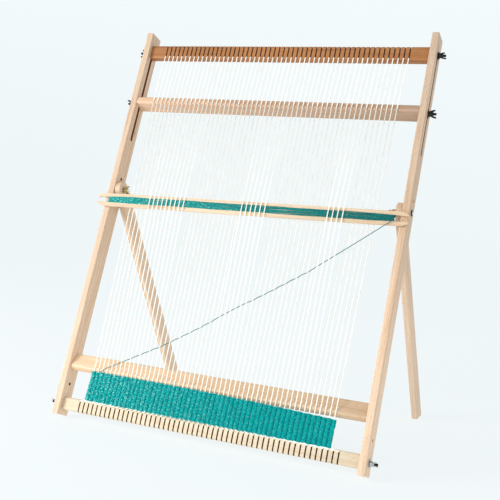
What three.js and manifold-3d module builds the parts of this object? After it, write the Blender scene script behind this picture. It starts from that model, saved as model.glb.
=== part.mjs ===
// A tapestry frame loom: two slotted uprights with a notched beam at each end, a turning tension
// bar that slides in the slots, a fixed crossbar, two prop legs, a warp, a started weaving and a
// stick shuttle. Millimetres, +Z up, +X to the weaver's right, and the weaver stands on the -Y side.
// The origin is on the floor under the middle of the object.

import * as THREE from 'three';
import { mergeGeometries, mergeVertices } from 'three/addons/utils/BufferGeometryUtils.js';
import Module from 'manifold-3d';

const wasm = await Module();
wasm.setup();

const DEGREE = Math.PI / 180;

// Frame. The uprights lean back, and the legs stand out behind them.
const LOOM_WIDTH = 740;
const UPRIGHT_THICKNESS = 16;
const UPRIGHT_DEPTH = 42;
const UPRIGHT_LENGTH = 966;
const UPRIGHT_LEAN = 21;
const LEG_LEAN = 31;
const LEG_THICKNESS = 14;
const LEG_DEPTH = 40;
const EDGE_EASE = 1.2;

// Heights along the upright, measured from its lower end.
const SLOT_BOTTOM = 680;
const SLOT_TOP = 926;
const SLOT_WIDTH = 8;
const TOP_BEAM_AT = 919;
const TENSION_BAR_AT = 779;
const UPPER_SPARE_HOLE_AT = 578;
const PIVOT_AT = 551;
const CROSSBAR_AT = 124;
const LOWER_SPARE_HOLE_AT = 72;
const BOTTOM_BEAM_AT = 27;

// Bars between the uprights.
const BAR_DEPTH = 20;
const TOP_BEAM_HEIGHT = 35;
const BOTTOM_BEAM_HEIGHT = 29;
const BEAM_ROUNDING = 4;
const BAR_WIDTH = 39;
const BAR_ROUNDING = 6;
const TENSION_BAR_TURN = 15;
const CROSSBAR_TURN = 29;
const END_GAP = 0.5;
const TENON_RADIUS = 6;
const TENON_LENGTH = 9.5;
const MORTISE_DEPTH = 10.5;

// Slits of the two beams: the warp runs through them.
const SLIT_COUNT = 54;
const SLIT_PITCH = 11.65;
const SLIT_WIDTH = 2.7;
const TOP_CLOSED_STRIP = 3.5;
const BOTTOM_CLOSED_STRIP = 2.2;

// Fastenings: 6 mm bolts.
const BOLT_RADIUS = 3;
const BOLT_HOLE_RADIUS = 3.4;
const BOLT_GRIP = 22;
const BOLT_END = 388;
const WASHER_RADIUS = 8.5;
const WASHER_THICKNESS = 1.5;
const GAP = 0.3;
const NUT_HEIGHT = 9;
const NUT_BORE = 3.3;
const HEAD_RADIUS = 7;
const HEAD_HEIGHT = 3.8;

// Thread and yarn.
const WARP_RADIUS = 0.85;
const WARP_REST = 0.35;
const YARN_RADIUS = 0.8;
const BAND_THICKNESS = 3;
const BAND_TOP_LEFT = [-289, 108.5];
const BAND_TOP_BOW = [3, 110.8];
const BAND_TOP_RIGHT = [291, 98.3];
const BAND_BOTTOM_RIGHT = [288, 40.4];
const BAND_BOTTOM_LEFT = [-295, 41.8];
const BAND_EDGE_MARGIN = 1.6;

// Stick shuttle.
const SHUTTLE_LEFT = -387.8;
const SHUTTLE_RIGHT = 374.5;
const SHUTTLE_HEIGHT = 32;
const SHUTTLE_THICKNESS = 5;
const SHUTTLE_NOTCH = 14;
const SHUTTLE_NOTCH_DEPTH = 33.5;
const SHUTTLE_NARROWING = 24;
const SHUTTLE_MOUTH = 10.8;
const SHUTTLE_TIP_HEIGHT = 18.4;
const SHUTTLE_LEFT_AT = 515;
const SHUTTLE_RIGHT_AT = 528;
const SHUTTLE_STANDOFF = 3.2;
const WOUND_YARN_HEIGHT = 11;
const WOUND_YARN_THICKNESS = 1.5;
const LIFTED_GROUPS = [[5, 13], [26, 31], [44, 47]];

// The tail of the wound yarn, by hand, from the shuttle's right end to the weaving's left corner.
const YARN_TAIL_ROUTE = [
  [340, -33.2, 520],
  [262, -27, 460],
  [181, -23.2, 399],
  [102, -21.6, 345],
  [22, -20.9, 292.2],
  [-56, -21.1, 237.5],
  [-138, -22.6, 185],
  [-262, -23, 117.5],
  [-267, -21.5, 110.8],
];

const INNER_FACE = LOOM_WIDTH / 2 - UPRIGHT_THICKNESS;
const OUTER_FACE = LOOM_WIDTH / 2;
const BAR_LENGTH = 2 * (INNER_FACE - END_GAP);
const FRONT_FACE = -UPRIGHT_DEPTH / 2;
const SHUTTLE_BACK = FRONT_FACE - SHUTTLE_STANDOFF;
const SHUTTLE_FRONT = SHUTTLE_BACK - SHUTTLE_THICKNESS;

const lean = UPRIGHT_LEAN * DEGREE;
const legLean = LEG_LEAN * DEGREE;
const pivotHeight = PIVOT_AT * Math.cos(lean) + (UPRIGHT_DEPTH / 2) * Math.sin(lean);
const pivotBack = PIVOT_AT * Math.sin(lean) + (UPRIGHT_DEPTH / 2) * Math.cos(lean);
const footBack = pivotBack + pivotHeight * Math.tan(legLean) + LEG_DEPTH / 2 / Math.cos(legLean);

// Wood and metal finishes.
const beech = (color, roughness = 0.6) => new THREE.MeshStandardMaterial({ color, roughness, metalness: 0 });
const steel = (color, roughness = 0.4) => new THREE.MeshStandardMaterial({ color, roughness, metalness: 0.9 });
const fibre = (color) => new THREE.MeshStandardMaterial({ color, roughness: 0.95, metalness: 0 });

const UPRIGHT_WOOD = 0xe6c8a2;
const BEAM_WOOD = 0xc99a66;
const LEG_WOOD = 0xd8b892;
const BLACK_STEEL = 0x2b2a2a;
const ZINC = 0xb9bcc0;
const BRASS = 0xb08a45;
const COTTON = 0xefe6d2;
const TEAL = 0x16a39c;

// ---- Geometry helpers ----

// Turns a closed geometry into a solid that can be joined and cut.
function toSolid(geometry) {
  const bare = geometry.clone();
  bare.deleteAttribute('normal');
  bare.deleteAttribute('uv');
  const welded = mergeVertices(bare, 1e-4);
  const vertProperties = Float32Array.from(welded.attributes.position.array);
  const triVerts = Uint32Array.from(welded.index.array);
  return new wasm.Manifold(new wasm.Mesh({ numProp: 3, vertProperties, triVerts }));
}

// Turns a solid back into a flat-shaded geometry.
function toGeometry(solid) {
  const mesh = solid.getMesh();
  const shared = new THREE.BufferGeometry();
  shared.setAttribute('position', new THREE.BufferAttribute(mesh.vertProperties, 3));
  shared.setIndex(new THREE.BufferAttribute(mesh.triVerts, 1));
  const geometry = shared.toNonIndexed();
  geometry.computeVertexNormals();
  return geometry;
}

// A shape drawn as (depth, height) and extruded centrally along X.
function extrudeAlongX(shape, length, options = {}) {
  const geometry = new THREE.ExtrudeGeometry(shape, { depth: length, bevelEnabled: false, ...options });
  geometry.computeBoundingBox();
  const middle = (geometry.boundingBox.min.z + geometry.boundingBox.max.z) / 2;
  geometry.translate(0, 0, -middle);
  const basis = new THREE.Matrix4().makeBasis(
    new THREE.Vector3(0, 1, 0),
    new THREE.Vector3(0, 0, 1),
    new THREE.Vector3(1, 0, 0),
  );
  return geometry.applyMatrix4(basis);
}

// A shape drawn as (across, height) and extruded centrally along Y.
function extrudeAlongY(shape, depth, options = {}) {
  const geometry = new THREE.ExtrudeGeometry(shape, { depth, bevelEnabled: false, ...options });
  geometry.computeBoundingBox();
  const middle = (geometry.boundingBox.min.z + geometry.boundingBox.max.z) / 2;
  geometry.translate(0, 0, -middle);
  const basis = new THREE.Matrix4().makeBasis(
    new THREE.Vector3(1, 0, 0),
    new THREE.Vector3(0, 0, 1),
    new THREE.Vector3(0, -1, 0),
  );
  return geometry.applyMatrix4(basis);
}

// Extrusion options for a board whose long edges are eased.
function easedBoard(thickness, ease) {
  return {
    depth: thickness - 2 * ease,
    bevelEnabled: true,
    bevelThickness: ease,
    bevelSize: ease,
    bevelOffset: -ease,
    bevelSegments: 1,
    curveSegments: 6,
  };
}

function roundedRectangle(width, height, radius) {
  const x = width / 2 - radius;
  const y = height / 2 - radius;
  const shape = new THREE.Shape();
  shape.absarc(x, -y, radius, -90 * DEGREE, 0, false);
  shape.absarc(x, y, radius, 0, 90 * DEGREE, false);
  shape.absarc(-x, y, radius, 90 * DEGREE, 180 * DEGREE, false);
  shape.absarc(-x, -y, radius, 180 * DEGREE, 270 * DEGREE, false);
  return shape;
}

function roundHole(height, radius) {
  return new THREE.Path().absarc(0, height, radius, 0, 360 * DEGREE, true);
}

function slotHole(bottom, top, width) {
  const radius = width / 2;
  const path = new THREE.Path();
  path.absarc(0, top - radius, radius, 0, 180 * DEGREE, false);
  path.absarc(0, bottom + radius, radius, 180 * DEGREE, 360 * DEGREE, false);
  return path;
}

// A cylinder along X from one place to another.
function rodAlongX(radius, from, to, sides = 12) {
  const geometry = new THREE.CylinderGeometry(radius, radius, Math.abs(to - from), sides);
  geometry.rotateZ(90 * DEGREE);
  return geometry.translate((from + to) / 2, 0, 0);
}

// A profile of (radius, distance) turned about X; distance runs outward on the given side.
function turnedAlongX(profile, side, sides = 12) {
  const points = profile.map(([radius, distance]) => new THREE.Vector2(radius, distance));
  const geometry = new THREE.LatheGeometry(points, sides);
  return geometry.rotateZ(-side * 90 * DEGREE);
}

// A path whose steps are its own corners, so an extrusion along it keeps every corner sharp.
class CornerPath extends THREE.Curve {
  constructor(corners) {
    super();
    this.corners = corners;
  }

  cornerIndex(u) {
    return Math.round(u * (this.corners.length - 1));
  }

  getPoint(u, target = new THREE.Vector3()) {
    return target.copy(this.corners[this.cornerIndex(u)]);
  }

  getPointAt(u, target) {
    return this.getPoint(u, target);
  }

  getTangentAt(u, target = new THREE.Vector3()) {
    const at = this.cornerIndex(u);
    const here = this.corners[at];
    const before = this.corners[Math.max(at - 1, 0)];
    const after = this.corners[Math.min(at + 1, this.corners.length - 1)];
    const arriving = here.clone().sub(before).normalize();
    const leaving = after.clone().sub(here).normalize();
    return target.copy(arriving.add(leaving)).normalize();
  }
}

// A thread of round section along straight stretches between corners.
function threadAlong(corners, radius, sides) {
  const section = new THREE.Shape();
  section.setFromPoints(
    Array.from({ length: sides }, (_, k) => {
      const angle = (k / sides) * 360 * DEGREE;
      return new THREE.Vector2(radius * Math.cos(angle), radius * Math.sin(angle));
    }),
  );
  return new THREE.ExtrudeGeometry(section, {
    steps: corners.length - 1,
    extrudePath: new CornerPath(corners),
    bevelEnabled: false,
  });
}

function part(name, geometry, material) {
  const mesh = new THREE.Mesh(geometry, material);
  mesh.name = name;
  return mesh;
}

// ---- Wooden parts ----

// One upright, with its slot and holes; the crossbar's blind mortise is on the inner side.
function upright(name, side) {
  const half = UPRIGHT_DEPTH / 2;
  const board = new THREE.Shape([
    new THREE.Vector2(-half, 0),
    new THREE.Vector2(half, 0),
    new THREE.Vector2(half, UPRIGHT_LENGTH),
    new THREE.Vector2(-half, UPRIGHT_LENGTH),
  ]);
  board.holes.push(slotHole(SLOT_BOTTOM, SLOT_TOP, SLOT_WIDTH));
  for (const height of [UPPER_SPARE_HOLE_AT, PIVOT_AT, LOWER_SPARE_HOLE_AT, BOTTOM_BEAM_AT]) {
    board.holes.push(roundHole(height, BOLT_HOLE_RADIUS));
  }
  const blank = extrudeAlongX(board, 0, easedBoard(UPRIGHT_THICKNESS, EDGE_EASE));
  const mortise = rodAlongX(TENON_RADIUS + GAP, 0, side * (MORTISE_DEPTH + 5));
  mortise.translate(-side * (UPRIGHT_THICKNESS / 2 + 5), 0, CROSSBAR_AT);
  const mesh = part(name, toGeometry(toSolid(blank).subtract(toSolid(mortise))), beech(UPRIGHT_WOOD));
  mesh.position.x = side * (OUTER_FACE - UPRIGHT_THICKNESS / 2);
  return mesh;
}

// Across position of a slit.
function slitX(index) {
  return (index - (SLIT_COUNT - 1) / 2) * SLIT_PITCH;
}

// A beam with bolt holes in its ends and a row of slits open at its upper or lower edge.
function slittedBeam(name, height, at, openSide, closedStrip, color) {
  const bar = extrudeAlongX(roundedRectangle(BAR_DEPTH, height, BEAM_ROUNDING), BAR_LENGTH, {
    curveSegments: 1,
  });
  const cuts = [];
  const cutHeight = height - closedStrip;
  for (let i = 0; i < SLIT_COUNT; i += 1) {
    const cut = new THREE.BoxGeometry(SLIT_WIDTH, BAR_DEPTH + 4, cutHeight + 4);
    cut.translate(slitX(i), 0, openSide * (closedStrip / 2 + 2));
    cuts.push(cut);
  }
  for (const side of [-1, 1]) {
    cuts.push(boltSocket(side));
  }
  const solid = toSolid(bar).subtract(toSolid(mergeGeometries(cuts)));
  const mesh = part(name, toGeometry(solid), beech(color));
  mesh.position.z = at;
  return mesh;
}

// The blind hole that a hanger bolt is screwed into, at one end of a bar.
function boltSocket(side) {
  const end = BAR_LENGTH / 2;
  return rodAlongX(NUT_BORE, side * (end - BOLT_GRIP - 2), side * (end + 2));
}

function tensionBar() {
  const section = roundedRectangle(BAR_WIDTH, BAR_DEPTH, BAR_ROUNDING);
  const bar = extrudeAlongX(section, BAR_LENGTH, { curveSegments: 4 });
  const sockets = mergeGeometries([boltSocket(-1), boltSocket(1)]);
  const mesh = part('tension_bar', toGeometry(toSolid(bar).subtract(toSolid(sockets))), beech(BEAM_WOOD));
  mesh.position.z = TENSION_BAR_AT;
  mesh.rotation.x = -TENSION_BAR_TURN * DEGREE;
  return mesh;
}

function lowerCrossbar() {
  const section = roundedRectangle(BAR_DEPTH, BAR_WIDTH, BAR_ROUNDING);
  let solid = toSolid(extrudeAlongX(section, BAR_LENGTH, { curveSegments: 4 }));
  for (const side of [-1, 1]) {
    const shoulder = side * (BAR_LENGTH / 2);
    const tenon = rodAlongX(TENON_RADIUS, shoulder - side * 5, shoulder + side * TENON_LENGTH);
    solid = solid.add(toSolid(tenon));
  }
  const mesh = part('lower_crossbar', toGeometry(solid), beech(BEAM_WOOD));
  mesh.position.z = CROSSBAR_AT;
  mesh.rotation.x = -CROSSBAR_TURN * DEGREE;
  return mesh;
}

// A prop leg: round at the pivot, cut level with the floor at the foot.
function leg(name, side) {
  const half = LEG_DEPTH / 2;
  const footAt = (depth) => -(pivotHeight + depth * Math.sin(legLean)) / Math.cos(legLean);
  const outline = new THREE.Shape();
  outline.moveTo(-half, footAt(-half));
  outline.lineTo(half, footAt(half));
  outline.absarc(0, 0, half, 0, 180 * DEGREE, false);
  outline.holes.push(roundHole(0, BOLT_HOLE_RADIUS));
  const board = extrudeAlongX(outline, 0, easedBoard(LEG_THICKNESS, EDGE_EASE));
  const mesh = part(name, board, beech(LEG_WOOD));
  mesh.position.set(side * (INNER_FACE - 0.4 - LEG_THICKNESS / 2), 0, PIVOT_AT);
  mesh.rotation.x = lean + legLean;
  return mesh;
}

// ---- Fastenings ----

// A headless bolt whose inner half sits in the bar and whose outer half carries the nut.
function hangerBolt(name, side, at) {
  const from = BAR_LENGTH / 2 - BOLT_GRIP;
  const profile = [
    [0, from],
    [BOLT_RADIUS - 0.8, from],
    [BOLT_RADIUS, from + 2],
    [BOLT_RADIUS, BOLT_END - 0.8],
    [BOLT_RADIUS - 0.8, BOLT_END],
    [0, BOLT_END],
  ];
  const mesh = part(name, turnedAlongX(profile, side), steel(BLACK_STEEL));
  mesh.position.z = at;
  return mesh;
}

// A bolt with a domed head on the outside of the upright.
function pivotBolt(name, side) {
  const seat = OUTER_FACE + GAP;
  const tip = INNER_FACE - LEG_THICKNESS - 17;
  const profile = [
    [0, tip],
    [BOLT_RADIUS - 0.8, tip],
    [BOLT_RADIUS, tip + 0.8],
    [BOLT_RADIUS, seat],
    [HEAD_RADIUS, seat],
    [HEAD_RADIUS, seat + 0.6],
    [HEAD_RADIUS * 0.8, seat + HEAD_HEIGHT * 0.7],
    [HEAD_RADIUS * 0.42, seat + HEAD_HEIGHT * 0.95],
    [0, seat + HEAD_HEIGHT],
  ];
  const mesh = part(name, turnedAlongX(profile, side), steel(ZINC));
  mesh.position.z = PIVOT_AT;
  return mesh;
}

// A washer whose inner face is at the given distance from the middle of the loom.
function washer(name, side, from, at, color = ZINC) {
  const profile = [
    [BOLT_HOLE_RADIUS, from],
    [WASHER_RADIUS, from],
    [WASHER_RADIUS, from + WASHER_THICKNESS],
    [BOLT_HOLE_RADIUS, from + WASHER_THICKNESS],
    [BOLT_HOLE_RADIUS, from],
  ];
  const mesh = part(name, turnedAlongX(profile, side), steel(color));
  mesh.position.z = at;
  return mesh;
}

// A wing nut seated at x = 0, opening towards +X or -X, with its wings along the upright.
function wingNutGeometry(direction) {
  const hub = turnedAlongX(
    [
      [NUT_BORE, 0],
      [6.4, 0],
      [6.4, 1.4],
      [5.2, 3.6],
      [4.8, NUT_HEIGHT],
      [NUT_BORE, NUT_HEIGHT],
      [NUT_BORE, 0],
    ],
    direction,
  );
  let solid = toSolid(hub);
  for (const wingSide of [-1, 1]) {
    const wing = new THREE.Shape();
    wing.moveTo(4.1, 1.4);
    wing.lineTo(6.6, 2.6);
    wing.quadraticCurveTo(10.4, 6.4, 11.4, 12.2);
    wing.absarc(9.5, 12.9, 2, -20 * DEGREE, 160 * DEGREE, false);
    wing.quadraticCurveTo(6.6, 8.8, 4.1, 7.8);
    const blade = new THREE.ExtrudeGeometry(wing, { depth: 1.8, bevelEnabled: false, curveSegments: 3 });
    blade.translate(0, 0, -0.9);
    const outward = new THREE.Vector3(direction, 0, 0);
    const radial = new THREE.Vector3(0, 0, wingSide);
    const across = new THREE.Vector3().crossVectors(radial, outward);
    blade.applyMatrix4(new THREE.Matrix4().makeBasis(radial, outward, across));
    solid = solid.add(toSolid(blade));
  }
  return toGeometry(solid);
}

function wingNut(name, side, direction, from, at, turn, color) {
  const mesh = part(name, wingNutGeometry(side * direction), steel(color));
  mesh.position.set(side * from, 0, at);
  mesh.rotation.x = turn * DEGREE;
  return mesh;
}

// Bolt, washer and wing nut of one bar end.
function barFastening(label, side, at, turn, nutColor = BLACK_STEEL, washerColor = ZINC) {
  const washerFrom = OUTER_FACE + GAP;
  const nutFrom = washerFrom + WASHER_THICKNESS + GAP;
  return [
    hangerBolt(`${label}_bolt`, side, at),
    washer(`${label}_washer`, side, washerFrom, at, washerColor),
    wingNut(`${label}_wing_nut`, side, 1, nutFrom, at, turn, nutColor),
  ];
}

// Bolt, washer and wing nut of one leg pivot; the nut is on the inner side of the leg.
function legFastening(label, side, turn) {
  const washerFrom = INNER_FACE - 0.4 - LEG_THICKNESS - GAP - WASHER_THICKNESS;
  const nutFrom = washerFrom - GAP;
  return [
    pivotBolt(`${label}_bolt`, side),
    washer(`${label}_washer`, side, washerFrom, PIVOT_AT),
    wingNut(`${label}_wing_nut`, side, -1, nutFrom, PIVOT_AT, turn, BRASS),
  ];
}

// ---- Warp, weaving and shuttle ----

// The front-most point of a turned bar, moved out by the distance at which a thread's axis passes.
function threadPassing(width, height, turn, at) {
  const x = width / 2 - BAR_ROUNDING;
  const y = height / 2 - BAR_ROUNDING;
  const corners = [[-x, -y], [x, -y], [x, y], [-x, y]].map(
    ([depth, up]) => new THREE.Vector2(depth, up).rotateAround(new THREE.Vector2(0, 0), turn * DEGREE),
  );
  const front = corners.reduce((best, corner) => (corner.x < best.x ? corner : best));
  return { y: front.x - BAR_ROUNDING - WARP_REST - WARP_RADIUS, z: at + front.y };
}

const topSlitEnd = TOP_BEAM_AT - TOP_BEAM_HEIGHT / 2 + TOP_CLOSED_STRIP;
const bottomSlitEnd = BOTTOM_BEAM_AT + BOTTOM_BEAM_HEIGHT / 2 - BOTTOM_CLOSED_STRIP;
const threadInTopSlit = topSlitEnd + WARP_REST + WARP_RADIUS;
const threadInBottomSlit = bottomSlitEnd - WARP_REST - WARP_RADIUS;
const beamFrontPass = -(BAR_DEPTH / 2 + WARP_REST + WARP_RADIUS + 0.15);
const beamBackPass = -beamFrontPass;
const overTensionBar = threadPassing(BAR_WIDTH, BAR_DEPTH, -TENSION_BAR_TURN, TENSION_BAR_AT);
const overCrossbar = threadPassing(BAR_DEPTH, BAR_WIDTH, -CROSSBAR_TURN, CROSSBAR_AT);

function mix(a, b, t) {
  return a + (b - a) * t;
}

// Across position of a warp end at the weaving's lower and upper edge.
function weavingX(index, left, right) {
  return mix(left + BAND_EDGE_MARGIN, right - BAND_EDGE_MARGIN, index / (SLIT_COUNT - 1));
}

// Across position of a warp end above the weaving: it spreads evenly up to its slit.
function warpX(index, height) {
  const atWeaving = weavingX(index, BAND_TOP_LEFT[0], BAND_TOP_RIGHT[0]);
  const share = (height - BAND_TOP_LEFT[1]) / (threadInTopSlit - BAND_TOP_LEFT[1]);
  return mix(atWeaving, slitX(index), share);
}

// Height of the shuttle's centre line at an across position.
function shuttleHeight(x) {
  const share = (x - SHUTTLE_LEFT) / (SHUTTLE_RIGHT - SHUTTLE_LEFT);
  return mix(SHUTTLE_LEFT_AT, SHUTTLE_RIGHT_AT, share);
}

function isLifted(index) {
  return LIFTED_GROUPS.some(([first, last]) => index >= first && index <= last);
}

// One warp end from the back of the top beam to the back of the bottom beam.
function warpEnd(index) {
  const bandBottom = BAND_BOTTOM_LEFT[1];
  const share = (overCrossbar.z - bandBottom) / (overCrossbar.z - threadInBottomSlit);
  const corners = [
    new THREE.Vector3(slitX(index), beamBackPass, threadInTopSlit),
    new THREE.Vector3(slitX(index), beamFrontPass, threadInTopSlit),
    new THREE.Vector3(warpX(index, overTensionBar.z), overTensionBar.y, overTensionBar.z),
  ];
  if (isLifted(index)) {
    const wound = GAP + WOUND_YARN_THICKNESS + WARP_REST + WARP_RADIUS;
    const middle = shuttleHeight(warpX(index, SHUTTLE_LEFT_AT));
    for (const step of [1, -1]) {
      const height = middle + (step * SHUTTLE_HEIGHT) / 2;
      corners.push(new THREE.Vector3(warpX(index, height), SHUTTLE_FRONT - wound, height));
    }
  }
  corners.push(
    new THREE.Vector3(warpX(index, overCrossbar.z), overCrossbar.y, overCrossbar.z),
    new THREE.Vector3(
      weavingX(index, BAND_BOTTOM_LEFT[0], BAND_BOTTOM_RIGHT[0]),
      mix(overCrossbar.y, beamFrontPass, share),
      bandBottom,
    ),
    new THREE.Vector3(slitX(index), beamFrontPass, threadInBottomSlit),
    new THREE.Vector3(slitX(index), beamBackPass, threadInBottomSlit),
  );
  return corners;
}

// The warp is one thread that runs down one slit, round a tooth, up the next slit, and so on.
function warpThread() {
  const corners = [];
  for (let i = 0; i < SLIT_COUNT; i += 1) {
    const end = warpEnd(i);
    corners.push(...(i % 2 === 0 ? end : end.reverse()));
  }
  return part('warp_thread', threadAlong(corners, WARP_RADIUS, 5), fibre(COTTON));
}

// The started weaving lies on the front of the warp between the crossbar and the bottom beam.
function wovenBand() {
  const [bottomLeft, bottomRight, topRight, bow, topLeft] = [
    BAND_BOTTOM_LEFT, BAND_BOTTOM_RIGHT, BAND_TOP_RIGHT, BAND_TOP_BOW, BAND_TOP_LEFT,
  ].map(([x, height]) => new THREE.Vector2(x, height - BAND_TOP_LEFT[1]));
  const outline = new THREE.Shape([bottomLeft, bottomRight, topRight]);
  outline.quadraticCurveTo(bow.x, bow.y, topLeft.x, topLeft.y);
  const mesh = part('woven_band', extrudeAlongY(outline, BAND_THICKNESS), fibre(TEAL));
  const slope = (beamFrontPass - overCrossbar.y) / (overCrossbar.z - threadInBottomSlit);
  const onWarp = overCrossbar.y + (overCrossbar.z - BAND_TOP_LEFT[1]) * slope;
  const standoff = WARP_RADIUS + WARP_REST + BAND_THICKNESS / 2;
  mesh.position.set(0, onWarp - standoff, BAND_TOP_LEFT[1]);
  mesh.rotation.x = Math.atan(slope);
  return mesh;
}

// One end of the shuttle's outline: two prongs, narrowing to round tips, beside a U notch.
function shuttleEnd(outline, end) {
  const half = SHUTTLE_HEIGHT / 2;
  const notch = SHUTTLE_NOTCH / 2;
  const tip = (SHUTTLE_RIGHT - SHUTTLE_LEFT) / 2;
  const tipHalf = SHUTTLE_TIP_HEIGHT / 2;
  const mouth = SHUTTLE_MOUTH / 2;
  const floor = end * (tip - SHUTTLE_NOTCH_DEPTH + notch);
  const turn = end > 0 ? 0 : 180 * DEGREE;
  // Inward distances from the tip and heights, for the prong at the given side of the notch.
  const at = (inward, height) => [end * (tip - inward), end * height];
  outline.lineTo(...at(SHUTTLE_NARROWING, -half));
  outline.quadraticCurveTo(...at(SHUTTLE_NARROWING / 3, -half), ...at(1.4, -tipHalf));
  outline.quadraticCurveTo(...at(-0.8, -(tipHalf + mouth) / 2), ...at(2, -mouth));
  outline.lineTo(...at(SHUTTLE_NARROWING, -notch));
  outline.absarc(floor, 0, notch, turn + 270 * DEGREE, turn + 90 * DEGREE, true);
  outline.lineTo(...at(SHUTTLE_NARROWING, notch));
  outline.lineTo(...at(2, mouth));
  outline.quadraticCurveTo(...at(-0.8, (tipHalf + mouth) / 2), ...at(1.4, tipHalf));
  outline.quadraticCurveTo(...at(SHUTTLE_NARROWING / 3, half), ...at(SHUTTLE_NARROWING, half));
}

function shuttleOutline() {
  const outline = new THREE.Shape();
  outline.moveTo(-300, -SHUTTLE_HEIGHT / 2);
  shuttleEnd(outline, 1);
  shuttleEnd(outline, -1);
  return outline;
}

// The shuttle and its wound yarn, centred on the shuttle.
function shuttleGroup() {
  const stick = part(
    'stick_shuttle',
    extrudeAlongY(shuttleOutline(), 0, easedBoard(SHUTTLE_THICKNESS, 0.6)),
    beech(UPRIGHT_WOOD),
  );
  const group = new THREE.Group();
  group.add(stick, shuttleYarn());
  group.position.set(
    (SHUTTLE_LEFT + SHUTTLE_RIGHT) / 2,
    (SHUTTLE_BACK + SHUTTLE_FRONT) / 2,
    (SHUTTLE_LEFT_AT + SHUTTLE_RIGHT_AT) / 2,
  );
  group.rotation.y = -Math.atan((SHUTTLE_RIGHT_AT - SHUTTLE_LEFT_AT) / (SHUTTLE_RIGHT - SHUTTLE_LEFT));
  return group;
}

// Yarn wound lengthwise: a flat loop that runs along both faces and through both notches.
function shuttleYarn() {
  const notch = SHUTTLE_NOTCH / 2;
  const roundFloor = notch - Math.sqrt(notch ** 2 - (WOUND_YARN_HEIGHT / 2) ** 2);
  const inner = new THREE.Vector2(
    (SHUTTLE_RIGHT - SHUTTLE_LEFT) / 2 - SHUTTLE_NOTCH_DEPTH + roundFloor + 2 * GAP,
    SHUTTLE_THICKNESS / 2 + GAP,
  );
  const outer = inner.clone().addScalar(WOUND_YARN_THICKNESS);
  const loop = roundedRectangle(2 * outer.x, 2 * outer.y, 1.4);
  loop.holes.push(
    new THREE.Path([
      new THREE.Vector2(-inner.x, -inner.y),
      new THREE.Vector2(-inner.x, inner.y),
      new THREE.Vector2(inner.x, inner.y),
      new THREE.Vector2(inner.x, -inner.y),
    ]),
  );
  const geometry = new THREE.ExtrudeGeometry(loop, {
    depth: WOUND_YARN_HEIGHT,
    bevelEnabled: false,
    curveSegments: 3,
  });
  geometry.translate(0, 0, -WOUND_YARN_HEIGHT / 2);
  return part('shuttle_yarn', geometry, fibre(TEAL));
}

function yarnTail() {
  const corners = YARN_TAIL_ROUTE.map((corner) => new THREE.Vector3(...corner));
  return part('yarn_tail', threadAlong(corners, YARN_RADIUS, 8), fibre(TEAL));
}

// ---- Assembly ----

// Everything that leans with the uprights, drawn with the uprights standing along Z.
function leaningFrame() {
  const group = new THREE.Group();
  group.add(upright('left_upright', -1), upright('right_upright', 1));
  group.add(
    slittedBeam('top_beam', TOP_BEAM_HEIGHT, TOP_BEAM_AT, 1, TOP_CLOSED_STRIP, BEAM_WOOD),
    slittedBeam('bottom_beam', BOTTOM_BEAM_HEIGHT, BOTTOM_BEAM_AT, -1, BOTTOM_CLOSED_STRIP, UPRIGHT_WOOD),
  );
  group.add(tensionBar(), lowerCrossbar());
  for (const [sideName, side] of [['left', -1], ['right', 1]]) {
    group.add(leg(`${sideName}_leg`, side));
    const topTurn = side > 0 ? 80 : -4;
    group.add(
      ...barFastening(`${sideName}_top_beam`, side, TOP_BEAM_AT, topTurn, BLACK_STEEL, BLACK_STEEL),
    );
    group.add(
      ...barFastening(`${sideName}_tension_bar`, side, TENSION_BAR_AT, 62, BLACK_STEEL, BRASS),
    );
    group.add(...barFastening(`${sideName}_bottom_beam`, side, BOTTOM_BEAM_AT, 70, ZINC));
    group.add(...legFastening(`${sideName}_leg`, side, side > 0 ? 95 : 35));
  }
  group.add(warpThread(), wovenBand(), shuttleGroup(), yarnTail());
  group.rotation.x = -lean;
  group.position.y = (UPRIGHT_DEPTH / 2) * Math.cos(lean) - footBack / 2;
  group.position.z = (UPRIGHT_DEPTH / 2) * Math.sin(lean);
  return group;
}

const loom = new THREE.Group();
loom.name = 'tapestry_frame_loom';
loom.add(leaningFrame());

export default loom;
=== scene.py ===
"""Looks of the tapestry frame loom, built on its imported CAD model. Metres, +Z up."""
import math

import bmesh
import bpy
import numpy as np
from mathutils import Matrix, Vector


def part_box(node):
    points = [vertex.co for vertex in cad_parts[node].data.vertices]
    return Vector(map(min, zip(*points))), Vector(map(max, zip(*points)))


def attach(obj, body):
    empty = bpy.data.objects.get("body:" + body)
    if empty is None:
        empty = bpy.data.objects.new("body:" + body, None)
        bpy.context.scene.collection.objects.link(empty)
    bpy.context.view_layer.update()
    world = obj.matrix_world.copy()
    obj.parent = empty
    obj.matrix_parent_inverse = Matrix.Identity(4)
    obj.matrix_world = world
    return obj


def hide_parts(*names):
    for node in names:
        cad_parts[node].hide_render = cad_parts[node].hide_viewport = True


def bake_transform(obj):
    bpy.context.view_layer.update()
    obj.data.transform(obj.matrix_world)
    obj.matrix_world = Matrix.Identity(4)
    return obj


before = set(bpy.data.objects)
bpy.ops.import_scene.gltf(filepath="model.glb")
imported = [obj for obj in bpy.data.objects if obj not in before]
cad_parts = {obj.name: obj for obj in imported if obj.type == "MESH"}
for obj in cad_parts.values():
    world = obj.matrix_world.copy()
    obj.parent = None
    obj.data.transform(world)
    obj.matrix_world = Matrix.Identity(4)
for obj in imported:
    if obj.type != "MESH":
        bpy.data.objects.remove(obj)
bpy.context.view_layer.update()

MM = 0.001

# ---- Where things are: the frame that leans with the uprights ----

LEAN = math.radians(21)
UPRIGHT_DEPTH = 42 * MM
# The front lower corner of the upright is the object's foremost point.
FRONT_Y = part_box("left_upright")[0][1]


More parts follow.
